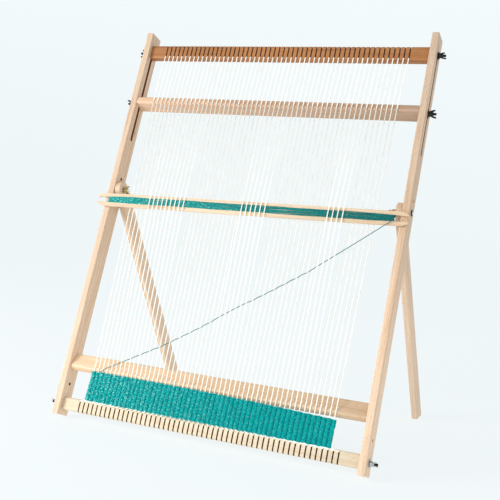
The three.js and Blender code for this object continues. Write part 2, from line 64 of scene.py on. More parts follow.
def loom(x, y, z):
    """A point in millimetres across, behind and along the uprights' centre line, in the row frame."""
    y, z = y * MM, z * MM
    return Vector((
        x * MM,
        FRONT_Y + (y + UPRIGHT_DEPTH / 2) * math.cos(LEAN) + z * math.sin(LEAN),
        (UPRIGHT_DEPTH / 2 - y) * math.sin(LEAN) + z * math.cos(LEAN),
    ))


ALONG = Vector((0, math.sin(LEAN), math.cos(LEAN)))
ACROSS = Vector((1, 0, 0))
BEHIND = Vector((0, math.cos(LEAN), -math.sin(LEAN)))
LEG_LEAN = math.radians(31)
LEG_ALONG = Vector((0, -math.sin(LEG_LEAN), math.cos(LEG_LEAN)))

# Heights along the uprights and sizes of the bars, in millimetres, as in the CAD.
SLOT = (680, 926)
TOP_BEAM_AT, TOP_BEAM_HEIGHT = 919, 35
TENSION_BAR_AT, TENSION_BAR_TURN = 779, 15
PIVOT_AT = 551
CROSSBAR_AT, CROSSBAR_TURN = 124, 29
BOTTOM_BEAM_AT, BOTTOM_BEAM_HEIGHT = 27, 29
BAR_DEPTH, BAR_WIDTH, BAR_ROUNDING = 20, 39, 6
SLIT_COUNT, SLIT_PITCH, TOP_CLOSED_STRIP, BOTTOM_CLOSED_STRIP = 54, 11.65, 3.5, 2.2
WARP_RADIUS, WARP_REST = 0.85, 0.35
# The drawn thread's radius: fuller than the CAD's, it fills most of the gap left round that one.
WARP_LOOK = 1.15
BAND_TOP = ((-289, 108.5), (291, 98.3))
BAND_TOP_BOW = (3, 110.8)
BAND_BOTTOM = ((-295, 41.8), (288, 40.4))
BAND_MARGIN = 1.6
SHUTTLE_ENDS = ((-387.8, 515), (374.5, 528))
SHUTTLE_HEIGHT, SHUTTLE_THICKNESS, SHUTTLE_NOTCH, SHUTTLE_NOTCH_DEPTH = 32, 5, 14, 33.5
SHUTTLE_BACK = -UPRIGHT_DEPTH / MM / 2 - 3.2
SHUTTLE_FRONT = SHUTTLE_BACK - SHUTTLE_THICKNESS
WOUND_YARN_THICKNESS, WOUND_YARN_GAP = 1.5, 0.3
# Depth of the warp ends that are lifted over the wound yarn.
LIFTED_FRONT = SHUTTLE_FRONT - WOUND_YARN_GAP - WOUND_YARN_THICKNESS - WARP_REST - WARP_RADIUS
LIFTED_GROUPS = ((5, 13), (26, 31), (44, 47))
# The tail of the wound yarn, from the shuttle's right end to the weaving's left corner.
YARN_TAIL_ROUTE = (
    (340, -33.2, 520), (262, -27, 460), (181, -23.2, 399), (102, -21.6, 345),
    (22, -20.9, 292.2), (-56, -21.1, 237.5), (-138, -22.6, 185), (-262, -23, 117.5),
    (-267, -21.5, 110.8),
)
TAIL_END = (-268.5, -18.4, 106.8)

rng = np.random.default_rng(7)

# ---- Camera, floor and light ----

CAMERA_AT = (0.81872, FRONT_Y - 1.63331, 0.61395)
CAMERA_TURN = tuple(math.radians(a) for a in (23.77, 5.80, 3.40))
FLOOR_SINK = 0.0004


def make_camera():
    yaw, pitch, roll = CAMERA_TURN
    data = bpy.data.cameras.new("camera")
    data.lens = 64.0
    data.sensor_width = 36.0
    camera = bpy.data.objects.new("camera", data)
    bpy.context.collection.objects.link(camera)
    forward = Vector((-math.sin(yaw) * math.cos(pitch), math.cos(yaw) * math.cos(pitch), -math.sin(pitch)))
    level_right = Vector((math.cos(yaw), math.sin(yaw), 0))
    level_up = level_right.cross(forward)
    right = level_right * math.cos(roll) + level_up * math.sin(roll)
    up = -level_right * math.sin(roll) + level_up * math.cos(roll)
    turn = Matrix((right, up, -forward)).transposed().to_4x4()
    camera.matrix_world = Matrix.Translation(CAMERA_AT) @ turn
    bpy.context.scene.camera = camera


def nodes_of(owner):
    return owner.node_tree.nodes, owner.node_tree.links


def new_material(name):
    """A material with its nodes, links and main shader."""
    material = bpy.data.materials.new(name)
    material.use_nodes = True
    nodes, links = nodes_of(material)
    return material, nodes, links, nodes["Principled BSDF"]


def make_stage():
    """A floor that sweeps up into a backdrop, with one plain pale finish."""
    radius, back, steps = 2.5, 5.0, 24
    front, half_width, top = -6.0, 12.0, 9.0
    profile = [(front, 0.0)]
    for k in range(steps + 1):
        angle = k / steps * math.pi / 2
        profile.append((back + radius * math.sin(angle), radius * (1 - math.cos(angle))))
    profile.append((back + radius, top))
    verts, faces = [], []
    for y, z in profile:
        verts += [(-half_width, y, z - FLOOR_SINK), (half_width, y, z - FLOOR_SINK)]
    for k in range(len(profile) - 1):
        a = 2 * k
        faces.append((a, a + 1, a + 3, a + 2))
    paint, _, _, shader = new_material("pale_floor")
    shader.inputs["Base Color"].default_value = (0.20, 0.205, 0.21, 1)
    shader.inputs["Roughness"].default_value = 0.8
    shader.inputs["Specular IOR Level"].default_value = 0.0
    shader.inputs["Emission Color"].default_value = (0.90, 0.955, 0.965, 1)
    shader.inputs["Emission Strength"].default_value = 0.825
    mesh = bpy.data.meshes.new("stage")
    mesh.from_pydata(verts, [], faces)
    mesh.polygons.foreach_set("use_smooth", [True] * len(mesh.polygons))
    mesh.materials.append(paint)
    stage = bpy.data.objects.new("stage", mesh)
    bpy.context.collection.objects.link(stage)


def area_light(name, place, target, size, power, colour=(1, 1, 1)):
    data = bpy.data.lights.new(name, "AREA")
    data.shape = "DISK"
    data.size = size
    data.energy = power
    data.color = colour
    light = bpy.data.objects.new(name, data)
    light.location = place
    light.rotation_euler = (Vector(target) - Vector(place)).to_track_quat("-Z", "Y").to_euler()
    bpy.context.collection.objects.link(light)


def make_light():
    world = bpy.data.worlds.new("studio")
    world.use_nodes = True
    # A studio bright at eye level and dimmer overhead.
    nodes, links = nodes_of(world)
    background = nodes["Background"]
    background.inputs["Color"].default_value = (0.935, 0.985, 0.995, 1)
    direction = nodes.new("ShaderNodeTexCoord")
    axes = nodes.new("ShaderNodeSeparateXYZ")
    links.new(direction.outputs["Generated"], axes.inputs["Vector"])
    dimmer = map_range(nodes, links, axes.outputs["Z"], 0.15, 0.6, 0.93, 0.42)
    links.new(dimmer, background.inputs["Strength"])
    bpy.context.scene.world = world
    area_light("key", (-2.4, -2.4, 1.3), (0, 0, 0.35), 1.8, 82, (1.0, 0.98, 0.96))
    area_light("fill", (2.2, -2.6, 1.4), (0, 0, 0.4), 2.4, 16, (0.97, 0.98, 1.0))
    scene = bpy.context.scene
    scene.view_settings.view_transform = "Standard"
    scene.view_settings.look = "None"
    scene.view_settings.exposure = 0.0


# ---- Materials ----


def add(nodes, kind, **values):
    node = nodes.new(kind)
    for name, value in values.items():
        if name in node.inputs:
            node.inputs[name].default_value = value
        else:
            setattr(node, name, value)
    return node


def ramp(nodes, stops, interpolation="LINEAR"):
    node = nodes.new("ShaderNodeValToRGB")
    node.color_ramp.interpolation = interpolation
    elements = node.color_ramp.elements
    while len(elements) < len(stops):
        elements.new(0.5)
    for element, (place, colour) in zip(elements, stops):
        element.position = place
        element.color = colour if len(colour) == 4 else (*colour, 1)
    return node


def srgb(r, g, b):
    """A display colour, 0 to 255, as linear light."""
    def linear(c):
        c /= 255
        return c / 12.92 if c <= 0.04045 else ((c + 0.055) / 1.055) ** 2.4
    return (linear(r), linear(g), linear(b), 1)


def multiply(nodes, links, a, b):
    """Product of two colours, or of a colour and a value."""
    node = add(nodes, "ShaderNodeMix", data_type="RGBA", blend_type="MULTIPLY")
    node.inputs["Factor"].default_value = 1.0
    links.new(a, node.inputs["A"])
    links.new(b, node.inputs["B"])
    return node.outputs["Result"]


def overlay(nodes, links, factor, base, colour):
    """A plain colour laid over a base by a mask."""
    node = add(nodes, "ShaderNodeMix", data_type="RGBA", blend_type="MIX")
    links.new(factor, node.inputs["Factor"])
    links.new(base, node.inputs["A"])
    node.inputs["B"].default_value = colour
    return node.outputs["Result"]


def map_range(nodes, links, value, *bounds):
    """A value mapped by its bounds: from min, from max, to min, to max."""
    node = add(nodes, "ShaderNodeMapRange")
    for socket, bound in zip(("From Min", "From Max", "To Min", "To Max"), bounds):
        node.inputs[socket].default_value = bound
    links.new(value, node.inputs["Value"])
    return node.outputs["Result"]


def bumped(nodes, links, shader, height, strength, distance):
    bump = add(nodes, "ShaderNodeBump", Strength=strength, Distance=distance)
    links.new(height, bump.inputs["Height"])
    links.new(bump.outputs["Normal"], shader.inputs["Normal"])


def distance_along(nodes, links, place, direction, origin=(0, 0, 0)):
    """Distance of a point from the origin along a direction."""
    away = add(nodes, "ShaderNodeVectorMath", operation="SUBTRACT")
    away.inputs[1].default_value = tuple(origin)
    links.new(place, away.inputs[0])
    dot = add(nodes, "ShaderNodeVectorMath", operation="DOT_PRODUCT")
    dot.inputs[1].default_value = tuple(direction)
    links.new(away.outputs["Vector"], dot.inputs[0])
    return dot.outputs["Value"]


def math_node(nodes, links, operation, a, b):
    node = add(nodes, "ShaderNodeMath", operation=operation)
    links.new(a, node.inputs[0])
    if isinstance(b, float):
        node.inputs[1].default_value = b
    else:
        links.new(b, node.inputs[1])
    return node.outputs["Value"]


def across_normal(nodes, links):
    """How far a face looks along the loom's width, 0 to 1."""
    normal = add(nodes, "ShaderNodeNewGeometry")
    axes = add(nodes, "ShaderNodeSeparateXYZ")
    links.new(normal.outputs["Normal"], axes.inputs["Vector"])
    size = add(nodes, "ShaderNodeMath", operation="ABSOLUTE")
    links.new(axes.outputs["X"], size.inputs[0])
    return size.outputs["Value"]


def slit_wall_shade(nodes, links, _place):
    """The sawn walls of a beam's slits, which get painted shade."""
    return math_node(nodes, links, "GREATER_THAN", across_normal(nodes, links), 0.6)


def slot_wall_shade(nodes, links, place):
    """The walls of an upright's slot and holes, which get painted shade."""
    facing = math_node(nodes, links, "LESS_THAN", across_normal(nodes, links), 0.5)
    depth = distance_along(nodes, links, place, BEHIND, loom(0, 0, 0))
    off_middle = add(nodes, "ShaderNodeMath", operation="ABSOLUTE")
    links.new(depth, off_middle.inputs[0])
    inside = math_node(nodes, links, "LESS_THAN", off_middle.outputs["Value"], 0.0056)
    height = distance_along(nodes, links, place, ALONG, loom(0, 0, 0))
    above = math_node(nodes, links, "GREATER_THAN", height, 0.015)
    below = math_node(nodes, links, "LESS_THAN", height, 0.935)
    ends = math_node(nodes, links, "MULTIPLY", above, below)
    return math_node(nodes, links, "MULTIPLY", math_node(nodes, links, "MULTIPLY", facing, inside), ends)


def wood(name, light, dark, fleck, along, seed, fade=None, walls=None):
    """Beech: soft growth bands and fine fibres along the grain, with short darker ray flecks.

    fade is (direction, from, to, tone at from, tone at to): painted light, the tone changing along a
    direction; walls is a mask of inner walls given painted shade.
    """
    material, nodes, links, shader = new_material(name)
    place = add(nodes, "ShaderNodeTexCoord")
    # Turn the grain direction to the texture's Z axis.
    turn = Vector(along).normalized().rotation_difference(Vector((0, 0, 1))).to_euler()
    grain = add(nodes, "ShaderNodeMapping")
    grain.inputs["Rotation"].default_value = turn
    grain.inputs["Location"].default_value = (seed, seed * 0.7, seed * 1.3)
    links.new(place.outputs["Object"], grain.inputs["Vector"])

    def stretched(scale):
        node = add(nodes, "ShaderNodeMapping")
        node.inputs["Scale"].default_value = scale
        links.new(grain.outputs["Vector"], node.inputs["Vector"])
        return node.outputs["Vector"]

    bands = add(nodes, "ShaderNodeTexNoise", Scale=1.0, Detail=3.0, Roughness=0.55, Distortion=0.6)
    links.new(stretched((85, 85, 2.6)), bands.inputs["Vector"])
    fibres = add(nodes, "ShaderNodeTexNoise", Scale=1.0, Detail=4.0, Roughness=0.6)
    links.new(stretched((900, 900, 22)), fibres.inputs["Vector"])
    flecks = add(nodes, "ShaderNodeTexVoronoi", Scale=1.0)
    links.new(stretched((420, 420, 75)), flecks.inputs["Vector"])
    broad = add(nodes, "ShaderNodeTexNoise", Scale=1.0, Detail=1.0)
    links.new(stretched((9, 9, 1.6)), broad.inputs["Vector"])

    tone = ramp(nodes, [(0.3, dark), (0.5, light), (0.72, dark)])
    links.new(bands.outputs["Fac"], tone.inputs["Fac"])
    fine = ramp(nodes, [(0.3, (0.84, 0.82, 0.80)), (0.6, (1.0, 1.0, 1.0))])
    links.new(fibres.outputs["Fac"], fine.inputs["Fac"])
    fibred = multiply(nodes, links, tone.outputs["Color"], fine.outputs["Color"])
    fleck_mask = ramp(nodes, [(0.13, (0.5, 0.5, 0.5)), (0.24, (0, 0, 0))])
    links.new(flecks.outputs["Distance"], fleck_mask.inputs["Fac"])
    flecked = overlay(nodes, links, fleck_mask.outputs["Color"], fibred, fleck)
    broad_tone = ramp(nodes, [(0.35, (0.9, 0.87, 0.84)), (0.65, (1.04, 1.03, 1.03))])
    links.new(broad.outputs["Fac"], broad_tone.inputs["Fac"])
    colour = multiply(nodes, links, flecked, broad_tone.outputs["Color"])
    # Painted light: the tone grows lighter or darker along a direction, as the light falls.
    if fade:
        direction, *bounds = fade
        distance = distance_along(nodes, links, place.outputs["Object"], direction)
        colour = multiply(nodes, links, colour, map_range(nodes, links, distance, *bounds))
    # Painted shade: the inner walls of slits and slots darkened to deep brown.
    if walls:
        mask = walls(nodes, links, place.outputs["Object"])
        colour = overlay(nodes, links, mask, colour, srgb(118, 70, 40))
    links.new(colour, shader.inputs["Base Color"])

    rough = map_range(nodes, links, fibres.outputs["Fac"], 0.0, 1.0, 0.43, 0.6)
    links.new(rough, shader.inputs["Roughness"])
    bumped(nodes, links, shader, fibres.outputs["Fac"], 0.18, 0.00025)
    return material


def yarn(name, light, dark, glint, plies, sheen, bump_depth, glint_share=0.0, fade=None, painted_glow=0.0):
    """Twisted thread: the plies run round it as oblique bands, read from the tube's own UV map.

    fade is (x from, x to, tone at from, tone at to): painted light, the tone changing across the loom; the
    specks, painted glints, grow rarer along it too.
    """
    material, nodes, links, shader = new_material(name)
    shader.inputs["Roughness"].default_value = 0.9
    shader.inputs["Sheen Weight"].default_value = sheen
    shader.inputs["Sheen Roughness"].default_value = 0.6
    shader.inputs["Specular IOR Level"].default_value = 0.12
    # Painted light: an emission in the thread's light colour brightens it, though it is no lamp.
    shader.inputs["Emission Color"].default_value = light
    shader.inputs["Emission Strength"].default_value = painted_glow
    uv = add(nodes, "ShaderNodeUVMap", uv_map="twist")
    axes = add(nodes, "ShaderNodeSeparateXYZ")
    links.new(uv.outputs["UV"], axes.inputs["Vector"])
    round_thread = math_node(nodes, links, "MULTIPLY", axes.outputs["X"], float(plies))
    phase = math_node(nodes, links, "ADD", round_thread, axes.outputs["Y"])
    turns = math_node(nodes, links, "MULTIPLY", phase, 2 * math.pi)
    wave = add(nodes, "ShaderNodeMath", operation="SINE")
    links.new(turns, wave.inputs[0])
    place = add(nodes, "ShaderNodeTexCoord")
    hairs = add(nodes, "ShaderNodeTexNoise", Scale=1400.0, Detail=3.0, Roughness=0.7)
    links.new(place.outputs["Object"], hairs.inputs["Vector"])
    patches = add(nodes, "ShaderNodeTexNoise", Scale=60.0, Detail=2.0)
    links.new(place.outputs["Object"], patches.inputs["Vector"])
    height = add(nodes, "ShaderNodeMath", operation="MULTIPLY_ADD")
    height.inputs[1].default_value = 0.35
    links.new(hairs.outputs["Fac"], height.inputs[0])
    links.new(map_range(nodes, links, wave.outputs["Value"], -1.0, 1.0, 0.0, 1.0), height.inputs[2])
    tone = ramp(nodes, [(0.15, dark), (0.75, light)])
    links.new(height.outputs["Value"], tone.inputs["Fac"])
    patch_tone = ramp(nodes, [(0.3, (0.85, 0.88, 0.88)), (0.7, (1.08, 1.06, 1.05))])
    links.new(patches.outputs["Fac"], patch_tone.inputs["Fac"])
    colour = multiply(nodes, links, tone.outputs["Color"], patch_tone.outputs["Color"])
    across = add(nodes, "ShaderNodeSeparateXYZ")
    links.new(place.outputs["Object"], across.inputs["Vector"])
    # Painted light: the tone changes across the loom.
    if fade:
        change = map_range(nodes, links, across.outputs["X"], *fade)
        colour = multiply(nodes, links, colour, change)
    # Painted glints: light specks, rarer towards the right.
    if glint_share:
        spots = add(nodes, "ShaderNodeTexNoise", Scale=330.0, Detail=1.0)
        links.new(place.outputs["Object"], spots.inputs["Vector"])
        mask = ramp(nodes, [(1 - glint_share, (0, 0, 0)), (1 - glint_share + 0.06, (1, 1, 1))])
        links.new(spots.outputs["Fac"], mask.inputs["Fac"])
        rarer = map_range(nodes, links, across.outputs["X"], -0.3, 0.15, 1.0, 0.15)
        share = math_node(nodes, links, "MULTIPLY", mask.outputs["Color"], rarer)
        colour = overlay(nodes, links, share, colour, glint)
    links.new(colour, shader.inputs["Base Color"])
    bumped(nodes, links, shader, height.outputs["Value"], 0.9, bump_depth)
    return material


def metal(name, colour, roughness, metallic=1.0, stain=0.25, dark_rim=None):
    """Plated steel, blackened steel or brass, with small stains.

    dark_rim is (axis point, radius): beyond the radius from the axis along X the colour is near black.
    """
    material, nodes, links, shader = new_material(name)
    shader.inputs["Metallic"].default_value = metallic
    place = add(nodes, "ShaderNodeTexCoord")
    marks = add(nodes, "ShaderNodeTexNoise", Scale=420.0, Detail=5.0, Roughness=0.65)
    links.new(place.outputs["Object"], marks.inputs["Vector"])
    dull = tuple(c * (1 - stain) for c in colour[:3])
    tone = ramp(nodes, [(0.35, dull), (0.65, colour)])
    links.new(marks.outputs["Fac"], tone.inputs["Fac"])
    colour_now = tone.outputs["Color"]
    if dark_rim:
        axis, radius = dark_rim
        flat = add(nodes, "ShaderNodeVectorMath", operation="MULTIPLY")
        flat.inputs[1].default_value = (0, 1, 1)
        links.new(place.outputs["Object"], flat.inputs[0])
        reach = add(nodes, "ShaderNodeVectorMath", operation="DISTANCE")
        reach.inputs[1].default_value = (0, axis.y, axis.z)
        links.new(flat.outputs["Vector"], reach.inputs[0])
        rim = math_node(nodes, links, "GREATER_THAN", reach.outputs["Value"], radius)
        colour_now = overlay(nodes, links, rim, colour_now, (0.03, 0.028, 0.026, 1))
    links.new(colour_now, shader.inputs["Base Color"])
    rough = map_range(nodes, links, marks.outputs["Fac"], 0.0, 1.0, roughness - 0.08, roughness + 0.15)
    links.new(rough, shader.inputs["Roughness"])
    bumped(nodes, links, shader, marks.outputs["Fac"], 0.12, 0.0001)
    return material


# ---- Mesh helpers ----


def rounded_path(corners, radius, steps=3):
    """The corners joined by straight lines, each inner corner turned into a short arc."""
    points = [Vector(corners[0])]
    for before, here, after in zip(corners, corners[1:], corners[2:]):
        into, out = (before - here), (after - here)
        reach = min(radius, into.length * 0.45, out.length * 0.45)
        start, end = here + into.normalized() * reach, here + out.normalized() * reach
        for k in range(steps + 1):
            t = k / steps
            points.append(start * (1 - t) ** 2 + here * 2 * t * (1 - t) + end * t ** 2)
    points.append(Vector(corners[-1]))
    return points


def tube(paths, radius, sides, twist):
    """Vertices, faces and twist coordinates of tubes along paths; one turn of twist per given length.

    The radius is one number, or a list with one number per point of each path.
    """
    verts, faces, uvs = [], [], []
    for path, path_radius in zip(paths, radius if isinstance(radius, list) else [radius] * len(paths)):
        radii = np.broadcast_to(path_radius, len(path))
        points = np.array([tuple(p) for p in path], float)
        count = len(points)
        steps = np.diff(points, axis=0)
        lengths = np.linalg.norm(steps, axis=1)
        steps /= lengths[:, None]
        tangents = np.vstack([steps[:1], steps[:-1] + steps[1:], steps[-1:]])
        tangents /= np.linalg.norm(tangents, axis=1)[:, None]
        along = np.concatenate([[0.0], np.cumsum(lengths)]) / twist
        side = np.cross(tangents[0], (0.31, 0.87, 0.38))
        side /= np.linalg.norm(side)
        first = len(verts)
        for k in range(count):
            side = side - tangents[k] * np.dot(side, tangents[k])
            side /= np.linalg.norm(side)
            other = np.cross(tangents[k], side)
            for j in range(sides):
                angle = 2 * math.pi * j / sides
                verts.append(points[k] + radii[k] * (math.cos(angle) * side + math.sin(angle) * other))
        for k in range(count - 1):
            for j in range(sides):
                a = first + k * sides + j
                b = first + k * sides + (j + 1) % sides
                faces.append((a, b, b + sides, a + sides))
                u0, u1 = j / sides, (j + 1) / sides
                uvs.append(((u0, along[k]), (u1, along[k]), (u1, along[k + 1]), (u0, along[k + 1])))
        start_cap = tuple(first + j for j in reversed(range(sides)))
        end_cap = tuple(first + (count - 1) * sides + j for j in range(sides))
        faces += [start_cap, end_cap]
        uvs += [((0.0, along[0]),) * sides, ((0.0, along[-1]),) * sides]
    return verts, faces, uvs


def make_piece(name, verts, faces, material, uvs=None):
    mesh = bpy.data.meshes.new(name)
    mesh.from_pydata([tuple(v) for v in verts], [], faces)
    if uvs is not None:
        layer = mesh.uv_layers.new(name="twist")
        flat = [c for face in uvs for uv in face for c in uv]
        layer.data.foreach_set("uv", flat)
    mesh.polygons.foreach_set("use_smooth", [True] * len(mesh.polygons))
    mesh.materials.append(material)
    mesh.update()
    piece = bpy.data.objects.new(name, mesh)
    bpy.context.collection.objects.link(piece)
    return piece


def thread_piece(name, paths, radius, sides, twist, material):
    verts, faces, uvs = tube(paths, radius, sides, twist)
    return make_piece(name, verts, faces, material, uvs)


def hand_over(piece, body, node):
    """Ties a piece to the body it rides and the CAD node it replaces."""
    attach(piece, body)
    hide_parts(node)


# ---- Warp ----


def mix(a, b, t):
    return a + (b - a) * t


def thread_passing(width, height, turn, at):
    """Depth and height at which a thread's axis passes the front of a turned bar."""
    x, y = width / 2 - BAR_ROUNDING, height / 2 - BAR_ROUNDING
    angle = math.radians(turn)
    corners = [
        (cx * math.cos(angle) - cy * math.sin(angle), cx * math.sin(angle) + cy * math.cos(angle))
        for cx, cy in ((-x, -y), (x, -y), (x, y), (-x, y))
    ]
    front = min(corners)
    return front[0] - BAR_ROUNDING - WARP_REST - WARP_RADIUS, at + front[1]


IN_TOP_SLIT = TOP_BEAM_AT - TOP_BEAM_HEIGHT / 2 + TOP_CLOSED_STRIP + WARP_REST + WARP_RADIUS
IN_BOTTOM_SLIT = BOTTOM_BEAM_AT + BOTTOM_BEAM_HEIGHT / 2 - BOTTOM_CLOSED_STRIP - WARP_REST - WARP_RADIUS
BEAM_FRONT = -(BAR_DEPTH / 2 + WARP_REST + WARP_RADIUS + 0.15)
BEAM_BACK = -BEAM_FRONT
TENSION_Y, TENSION_Z = thread_passing(BAR_WIDTH, BAR_DEPTH, -TENSION_BAR_TURN, TENSION_BAR_AT)
CROSS_Y, CROSS_Z = thread_passing(BAR_DEPTH, BAR_WIDTH, -CROSSBAR_TURN, CROSSBAR_AT)
# Where the straight thread has cleared the tension bar's upper edge; below it the thread rides the bar.
OVER_BAR_Z = TENSION_BAR_AT + BAR_WIDTH / 2 + 2
OVER_BAR_Y = mix(TENSION_Y, BEAM_FRONT, (OVER_BAR_Z - TENSION_Z) / (IN_TOP_SLIT - TENSION_Z))


def slit_x(index):
    return (index - (SLIT_COUNT - 1) / 2) * SLIT_PITCH


def weaving_x(index, left, right):
    return mix(left + BAND_MARGIN, right - BAND_MARGIN, index / (SLIT_COUNT - 1))


def warp_x(index, height):
    at_weaving = weaving_x(index, BAND_TOP[0][0], BAND_TOP[1][0])
    share = (height - BAND_TOP[0][1]) / (IN_TOP_SLIT - BAND_TOP[0][1])
    return mix(at_weaving, slit_x(index), share)


def warp_y(height):
    """Depth of the warp between the bottom beam and the tension bar."""
    if height < CROSS_Z:
        return mix(CROSS_Y, BEAM_FRONT, (CROSS_Z - height) / (CROSS_Z - IN_BOTTOM_SLIT))
    return mix(CROSS_Y, TENSION_Y, (height - CROSS_Z) / (TENSION_Z - CROSS_Z))


def shuttle_height(x):
    (x0, z0), (x1, z1) = SHUTTLE_ENDS
    return mix(z0, z1, (x - x0) / (x1 - x0))


def is_lifted(index):
    return any(first <= index <= last for first, last in LIFTED_GROUPS)


def lower_end(index):
    """Corners of one warp end from the tension bar down to the back of the bottom beam."""
    corners = [(warp_x(index, TENSION_Z), TENSION_Y, TENSION_Z)]
    if is_lifted(index):
        middle = shuttle_height(warp_x(index, SHUTTLE_ENDS[0][1]))
        for step in (1, -1):
            height = middle + step * SHUTTLE_HEIGHT / 2
            corners.append((warp_x(index, height), LIFTED_FRONT, height))
    corners.append((warp_x(index, CROSS_Z), CROSS_Y, CROSS_Z))
    bottom = BAND_BOTTOM[0][1]
    corners.append((weaving_x(index, BAND_BOTTOM[0][0], BAND_BOTTOM[1][0]), warp_y(bottom), bottom))
    corners.append((slit_x(index), BEAM_FRONT, IN_BOTTOM_SLIT))
    corners.append((slit_x(index), BEAM_BACK, IN_BOTTOM_SLIT))
    return corners


def upper_end(index):
    """Corners of one warp end from the tension bar up to the back of the top beam."""
    share = (OVER_BAR_Z - TENSION_Z) / (IN_TOP_SLIT - TENSION_Z)
    over_bar = (mix(warp_x(index, TENSION_Z), slit_x(index), share), OVER_BAR_Y, OVER_BAR_Z)
    return [
        (warp_x(index, TENSION_Z), TENSION_Y, TENSION_Z),
        over_bar,
        (slit_x(index), BEAM_FRONT, IN_TOP_SLIT),
        (slit_x(index), BEAM_BACK, IN_TOP_SLIT),
    ]


def looped(indices, end_of):
    """One path down an end and back up the next, round the tooth between them."""
    corners = []
    for order, index in enumerate(indices):
        end = end_of(index)
        corners += end if order == 0 else end[::-1]
    return rounded_path([loom(*c) for c in corners], 1.2 * MM)


def make_warp():
    # The cotton's emission is painted light that brightens the white threads.
    cotton = yarn(
        "cotton_warp", srgb(255, 253, 247), srgb(240, 234, 222), srgb(255, 255, 250), 3, 0.2, 0.00022,
        painted_glow=0.16,
    )
    lower = [looped((k, k + 1), lower_end) for k in range(0, SLIT_COUNT, 2)]
    upper = [looped((k, k + 1), upper_end) for k in range(1, SLIT_COUNT - 1, 2)]
    upper.append(looped((0,), upper_end))
    upper.append(looped((SLIT_COUNT - 1,), upper_end))
    twist = 5 * MM
    low = thread_piece("warp_below_tension_bar", lower, WARP_LOOK * MM, 8, twist, cotton)
    high = thread_piece("warp_above_tension_bar", upper, WARP_LOOK * MM, 8, twist, cotton)
    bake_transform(low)
    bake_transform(high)
    for piece in (low, high):
        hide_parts("warp_thread")


# ---- Weaving ----


def band_top(x):
    """Height of the weaving's bowed upper edge."""
    (x0, z0), (x1, z1), (x2, z2) = BAND_TOP[0], BAND_TOP_BOW, BAND_TOP[1]
    t = (x - x0) / (x2 - x0)
    return z0 * (1 - t) ** 2 + z1 * 2 * t * (1 - t) + z2 * t ** 2


def band_bottom(x):
    (x0, z0), (x1, z1) = BAND_BOTTOM
    return mix(z0, z1, (x - x0) / (x1 - x0))


def make_weaving(teal, shade):
    """Weft-faced plain weave: each pick goes over and under the warp ends, and turns at the edges.

    The picks swell where they stand out over a warp end and thin down where they dive between two,
    so the cloth has upright ribs with shaded valleys.
    """
    picks = 52
    per_end = 6
    swing = WARP_LOOK + 0.75
    samples = (SLIT_COUNT - 1) * per_end
    path, radii = [], []
    for pick in range(picks):
        share = (pick + 0.5) / picks
        left = mix(BAND_BOTTOM[0][0], BAND_TOP[0][0], share) + rng.normal(0, 0.4)
        right = mix(BAND_BOTTOM[1][0], BAND_TOP[1][0], share) + rng.normal(0, 0.4)
        side = 1 if pick % 2 == 0 else -1
        phase = rng.uniform(0, 2 * math.pi)
        row, thickness = [], []
        for s in range(-2, samples + 3):
            index = s / per_end
            x = weaving_x(index, left, right)
            height = mix(band_bottom(x) + 0.9, band_top(x) - 0.9, pick / (picks - 1))
            wave = side * math.cos(math.pi * index)
            depth = warp_y(height) + swing * math.copysign(abs(wave) ** 0.8, wave)
            height += 0.15 * math.sin(index * 0.9 + phase) + rng.normal(0, 0.09)
            row.append(loom(x + rng.normal(0, 0.1), depth + rng.normal(0, 0.07), height))
            thickness.append((0.72 + 0.48 * max(0.0, -wave)) * MM * rng.uniform(0.93, 1.07))
        path += row[::side]
        radii += thickness[::side]
    weft = thread_piece("weft_yarn", [path], [radii], 7, 6 * MM, teal)
    core = weaving_core(shade)
    for piece in (weft, core):
        hand_over(piece, "frame", "woven_band")
    height = (BAND_TOP[0][1] + BAND_TOP[1][1] - BAND_BOTTOM[0][1] - BAND_BOTTOM[1][1]) / 2


def weaving_core(shade):
    """A darker teal sheet inside the weft, painted shade: it wraps each warp end and closes the tiny gaps
    between picks.
    """
    inset, columns, rows = 1.2, 212, 10
    verts, faces, uvs = [], [], []
    for sheet in (-1, 1):
        for r in range(rows + 1):
            for c in range(columns + 1):
                share = r / rows
                left = mix(BAND_BOTTOM[0][0], BAND_TOP[0][0], share) + inset
                right = mix(BAND_BOTTOM[1][0], BAND_TOP[1][0], share) - inset
                x = mix(left, right, c / columns)
                z = mix(band_bottom(x) + inset, band_top(x) - inset, share)
                rib = WARP_LOOK + 0.25 + 0.35 * math.cos(2 * math.pi * (SLIT_COUNT - 1) * c / columns)
                verts.append(loom(x, warp_y(z) + sheet * rib, z))
    per_row = columns + 1
    per_sheet = per_row * (rows + 1)

    def quad(a, b, c, d):
        faces.append((a, b, c, d))
        uvs.append(((0.0, 0.0), (1.0, 0.0), (1.0, 0.4), (0.0, 0.4)))

    for r in range(rows):
        for c in range(columns):
            a = r * per_row + c
            quad(a, a + 1, a + 1 + per_row, a + per_row)
            quad(*(v + per_sheet for v in (a + per_row, a + 1 + per_row, a + 1, a)))
    for r in range(rows):
        left, right = r * per_row, r * per_row + columns
        quad(left, left + per_row, left + per_row + per_sheet, left + per_sheet)
        quad(right + per_row, right, right + per_sheet, right + per_row + per_sheet)
    for c in range(columns):
        low, high = c, rows * per_row + c
        quad(low + 1, low, low + per_sheet, low + 1 + per_sheet)
        quad(high, high + 1, high + 1 + per_sheet, high + per_sheet)
    return make_piece("woven_core_shade", verts, faces, shade, uvs)


# ---- Shuttle ----

SHUTTLE_TILT = math.atan2(
    SHUTTLE_ENDS[1][1] - SHUTTLE_ENDS[0][1], SHUTTLE_ENDS[1][0] - SHUTTLE_ENDS[0][0]
)
SHUTTLE_HALF = (SHUTTLE_ENDS[1][0] - SHUTTLE_ENDS[0][0]) / 2


